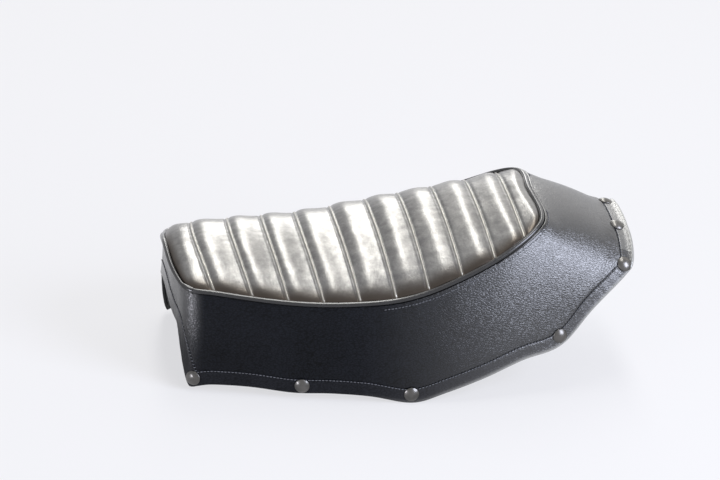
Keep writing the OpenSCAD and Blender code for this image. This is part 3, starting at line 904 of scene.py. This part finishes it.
def facing(u, v, raised, turn):
    """The matrix that stands a shape on the skin, outwards for turn 1 and inwards for -1."""
    at, share = np.array([float(u)]), np.array([float(v)])
    middle = Vector(skin(at, share, np.array([raised]))[0])
    normal = Vector(skin_normal(at, share)[0]) * turn
    return Matrix.Translation(middle) @ normal.to_track_quat("Z", "Y").to_matrix().to_4x4()


def stud_at(name, u, share, node, other_side):
    """A stud with its washer and nut, in the place of its node; other_side puts it on the right."""
    inside = facing(u, share + 0.02, -(PAN_DEPTH + PAN_WALL + 0.2 * MM), -1)
    shapes = ((stud, facing(u, share, 0.1 * MM, 1)), (washer, inside), (nut, inside))
    whole = bmesh.new()
    for shape, matrix in shapes:
        copy = shape.data.copy()
        copy.transform(matrix)
        if other_side:
            copy.transform(Matrix.Scale(-1, 4, (0, 1, 0)))
            copy.flip_normals()
        whole.from_mesh(copy)
        bpy.data.meshes.remove(copy)
    mesh = bpy.data.meshes.new(name)
    whole.to_mesh(mesh)
    whole.free()
    made = linked(name, mesh)
    only(made)
    bpy.ops.object.shade_smooth_by_angle(angle=math.radians(50))
    fitted(made, "studs", nickel, node)


for k, u in enumerate(STUD_SIDE_AT, start=1):
    stud_at(f"stud_left_{k}", u, STUD_SHARE, f"snap_left_{k}", False)
    stud_at(f"stud_right_{k}", u, STUD_SHARE, f"snap_right_{k}", True)
for k, (u, share) in enumerate(zip(STUD_REAR_AT, (STUD_SHARE, STRAP_STUD_SHARE)), start=1):
    stud_at(f"stud_rear_{k}", u, share, f"snap_rear_{k}", False)
    stud_at(f"stud_rear_{5 - k}", u, share, f"snap_rear_{5 - k}", True)
for shape in (stud, washer, nut):
    bpy.data.objects.remove(shape)

# %% [markdown]
# ## The underside
# The pan is laid up in a mould from glass fibre, with a flat deck and a flange that follows the
# skirt. It is the same loft as the cover, closed over by the deck. The construction's own
# brackets, bosses and pads keep their shape, and take the finishes of the real ones.

# %% The base pan
FLANGE_SHARE = 0.24
DECK_Z = 20 * MM
RAMP_FROM, RAMP_TO = -172 * MM, -152 * MM
FRONT_TOP = float(level_skin(np.zeros(1), np.array([FLANGE_SHARE]))[0, 2])


def flange_line(share, depth):
    """A line along the flange, at a share of the skirt and a depth behind the skin."""
    return skin(PLACES, share + np.zeros_like(PLACES), np.full_like(PLACES, -depth))


def pan_line(depth, ahead=0.0):
    """The edge of the deck, which is level and turns up at the front to meet the arch."""
    edge = flange_line(FLANGE_SHARE, depth)
    height = mixed(FRONT_TOP, DECK_Z, eased(RAMP_FROM, RAMP_TO, edge[:, 0] + ahead))
    low = level_skin(PLACES, np.zeros_like(PLACES))[:, 2]
    high = level_skin(PLACES, np.ones_like(PLACES))[:, 2]
    line = flange_line(np.clip((height - low) / (high - low), FLANGE_SHARE, 0.8), depth)
    line[:, 2] = np.maximum(line[:, 2], height)
    return line


inner = PAN_DEPTH + PAN_WALL
pan_lines = [pan_line(PAN_DEPTH), flange_line(0.2, PAN_DEPTH), flange_line(0.12, PAN_DEPTH),
             flange_line(0.04, PAN_DEPTH), flange_line(0.03, PAN_DEPTH + 1 * MM),
             flange_line(0.03, inner - 1 * MM), flange_line(0.04, inner), flange_line(0.12, inner),
             flange_line(0.2, inner)]
under_line = pan_line(inner, PAN_WALL)
under_line[:, 2] -= PAN_WALL
pan_lines.append(under_line)
for line in pan_lines:
    line[[0, -1], 1] = 0
pan = tube_mesh("base_pan_moulded", [ring_of(line) for line in pan_lines])
close_and_smooth(pan, 40)
fitted(pan, "pan", pan_laminate, "base_pan")

# %% Finishes of the other pieces
finishes = {"pan_bosses": pan_laminate, "threaded_inserts": brass, "rubber_pads": rubber,
            "front_hook": zinc, "rear_bracket": zinc, "bracket_rivets": aluminium}
for node, material in finishes.items():
    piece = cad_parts[node]
    for place in piece.material_slots:
        place.material = material
print("finished", ", ".join(finishes))

# %% [markdown]
# ## Floor, light and camera
# The seat lies on a plain pale floor, which meets a pale room at the horizon. Three slim lamps
# stand one above the other behind the seat, and draw the bright band along each roll. A softbox
# to the right gives the tail its cool sheen, a small one to the left touches the front corner, and
# a wide dim panel behind fills the rest. Metal and polished leather also reflect the pale room.

# %% The floor
FLOOR_RADIUS = 25
FLOOR_CLEARANCE = 0.2 * MM
floor_z = min(cad_box[0][2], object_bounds()[0][2])
bpy.ops.object.select_all(action="DESELECT")
bpy.ops.mesh.primitive_circle_add(vertices=96, radius=FLOOR_RADIUS, fill_type="NGON",
                                  location=(0, 0, floor_z - FLOOR_CLEARANCE))
floor = bpy.context.object
floor.name = "floor"
floor_paint, tree, shader = new_material("floor_pale", Roughness=0.9, Specular_IOR_Level=0.1)
shader.inputs["Base Color"].default_value = linear("#f0f0f3")
seen = background_rays(tree)
spot = add_node(tree, "ShaderNodeTexCoord").outputs["Object"]
far = add_node(tree, "ShaderNodeVectorMath", {0: spot}, operation="LENGTH")
blend = add_node(tree, "ShaderNodeMapRange", interpolation_type="SMOOTHSTEP", sockets={
    "Value": far.outputs["Value"], "From Min": 0.6, "From Max": 3.5, "To Min": 0.78, "To Max": 1.0})
share = add_node(tree, "ShaderNodeMath", {0: seen, 1: blend.outputs[0]}, operation="MULTIPLY")
glow = add_node(tree, "ShaderNodeEmission", {"Color": linear("#eeeef1"), "Strength": 1.0})
both = add_node(tree, "ShaderNodeMixShader", {0: share.outputs[0], 1: shader.outputs[0], 2: glow.outputs[0]})
tree.links.new(both.outputs[0], tree.nodes["Material Output"].inputs["Surface"])
floor.data.materials.append(floor_paint)

# %% The lights
LAMP_AIM = Vector((0.05, 0, 0.08))


def softbox(name, azimuth, elevation, distance, width, height, radiance, colour):
    """A rectangular lamp aimed at the seat, from a direction in degrees round it and above it."""
    a, e = math.radians(azimuth), math.radians(elevation)
    away = Vector((math.sin(a) * math.cos(e), math.cos(a) * math.cos(e), math.sin(e)))
    lamp = bpy.data.lights.new(name, "AREA")
    lamp.shape = "RECTANGLE"
    lamp.size, lamp.size_y = width, height
    lamp.energy = radiance * math.pi * width * height
    lamp.color = linear(colour)[:3]
    holder = bpy.data.objects.new(name, lamp)
    holder.location = away * distance + LAMP_AIM
    holder.rotation_euler = away.to_track_quat("Z", "Y").to_euler()
    holder.visible_camera = False
    bpy.context.collection.objects.link(holder)


strips = ((7, 22, 5.2), (2.5, 53, 9.5), (1.5, 84, 12.0))
for number, (azimuth, elevation, radiance) in enumerate(strips, start=1):
    softbox(f"overhead_strip_{number}", azimuth, elevation, 6.0, 1.0, 3.1, radiance, "#fffefa")
softbox("right_softbox", 131, 29, 3.0, 1.6, 2.0, 11.0, "#e6ecff")
softbox("front_left_softbox", -122, 5, 3.0, 0.6, 0.9, 20.0, "#f4f4ff")
softbox("back_panel", 38, 34, 6.0, 7.2, 6.0, 0.6, "#fffcf7")
world = bpy.data.worlds.new("studio")
bpy.context.scene.world = world
world.use_nodes = True
sky = world.node_tree
back = sky.nodes["Background"]
back.inputs["Color"].default_value = linear("#f4f4f7")
level = add_node(sky, "ShaderNodeMapRange", {"Value": background_rays(sky), "To Min": 0.2, "To Max": 0.95})
sky.links.new(level.outputs[0], back.inputs["Strength"])
bpy.context.scene.view_settings.view_transform = "Standard"

# %% The camera
VIEW_AZIMUTH, VIEW_ELEVATION, VIEW_ROLL = (math.radians(d) for d in (-10.5, 24, 3.5))
VIEW_FROM = (-0.7924, -4.370, 2.0808)
right = Vector((math.cos(VIEW_AZIMUTH), math.sin(VIEW_AZIMUTH), 0))
toward = Vector((math.sin(VIEW_AZIMUTH) * math.cos(VIEW_ELEVATION),
                 -math.cos(VIEW_AZIMUTH) * math.cos(VIEW_ELEVATION), math.sin(VIEW_ELEVATION)))
up = toward.cross(right)
rolled_right = right * math.cos(VIEW_ROLL) + up * math.sin(VIEW_ROLL)
rolled_up = up * math.cos(VIEW_ROLL) - right * math.sin(VIEW_ROLL)
lens = bpy.data.cameras.new("camera")
lens.lens = 240
lens.sensor_width = 36
lens.clip_end = 100
camera = bpy.data.objects.new("camera", lens)
turned = Matrix((rolled_right, rolled_up, toward)).transposed().to_4x4()
camera.matrix_world = Matrix.Translation(VIEW_FROM) @ turned
bpy.context.collection.objects.link(camera)
bpy.context.scene.camera = camera
